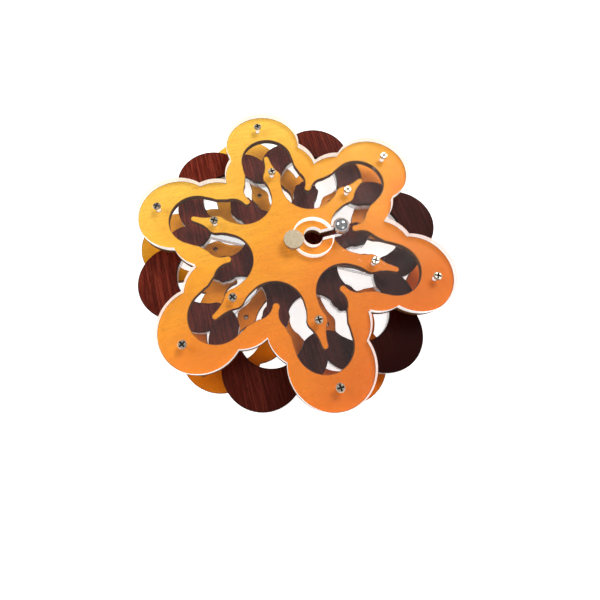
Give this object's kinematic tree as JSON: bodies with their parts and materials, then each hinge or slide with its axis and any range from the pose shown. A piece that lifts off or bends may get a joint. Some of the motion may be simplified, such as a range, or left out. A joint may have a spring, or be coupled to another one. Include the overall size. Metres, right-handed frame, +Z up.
{
  "type": "layered flower ball labyrinth puzzle",
  "caption": "Flower-shaped hand puzzle of wooden mazes under clear covers, with a turning dark flower between them, a keyhole by the central pivot and a steel ball.",
  "frame": {"origin": "centre of the bounding box at its underside, which is on the pivot's axis at the flat lower face of the bottom cover", "axes": "+Z up along the pivot from the bottom cover to the top cover; +X from the pivot to the keyhole and the ball; +Y along the axis of one petal of the top flower"},
  "size_m": [0.1238, 0.1248, 0.0273],
  "materials": {
    "gold_wood": "satin stained plywood with burnt laser-cut edges",
    "dark_wood": "satin dark-stained plywood with streaky grain",
    "clear_acrylic": "clear polished sheet with bright laser-cut edges",
    "nickel": "nickel-plated",
    "satin_steel": "satin turned",
    "nylon": "matte",
    "ball_chrome": "mirror polished"
  },
  "bodies": {
    "bottom_flower": {"bottom_cover": "clear_acrylic", "bottom_rim": "gold_wood", "bottom_star": "gold_wood", "bottom_rim_screws": "nickel", "bottom_arm_screws": "nickel", "lower_washer": "nylon", "pivot_barrel": "satin_steel", "pivot_screw": "satin_steel"},
    "dark_flower": {"rotor_core": "clear_acrylic", "rotor_rim": "dark_wood", "rotor_star": "dark_wood"},
    "top_flower": {"upper_washer": "nylon", "spacer_tube": "nylon", "top_rim": "gold_wood", "top_star": "gold_wood", "top_cover": "clear_acrylic", "keyhole_plate": "clear_acrylic", "top_rim_screws": "nickel", "top_arm_screws": "nickel"},
    "ball": {"steel_ball": "ball_chrome"}
  },
  "joints": [
    {"name": "rotor_turn", "type": "hinge", "parent": "bottom_flower", "child": "dark_flower", "pos_m": [0, 0, 0.0078], "axis": [0, 0, 1], "continuous": true},
    {"name": "top_turn", "type": "hinge", "parent": "bottom_flower", "child": "top_flower", "pos_m": [0, 0, 0.0171], "axis": [0, 0, 1], "continuous": true},
    {"name": "ball_roll", "type": "slide", "parent": "top_flower", "child": "ball", "axis": [1, 0, 0], "range_m": [-0.0106, 0]}
  ]
}
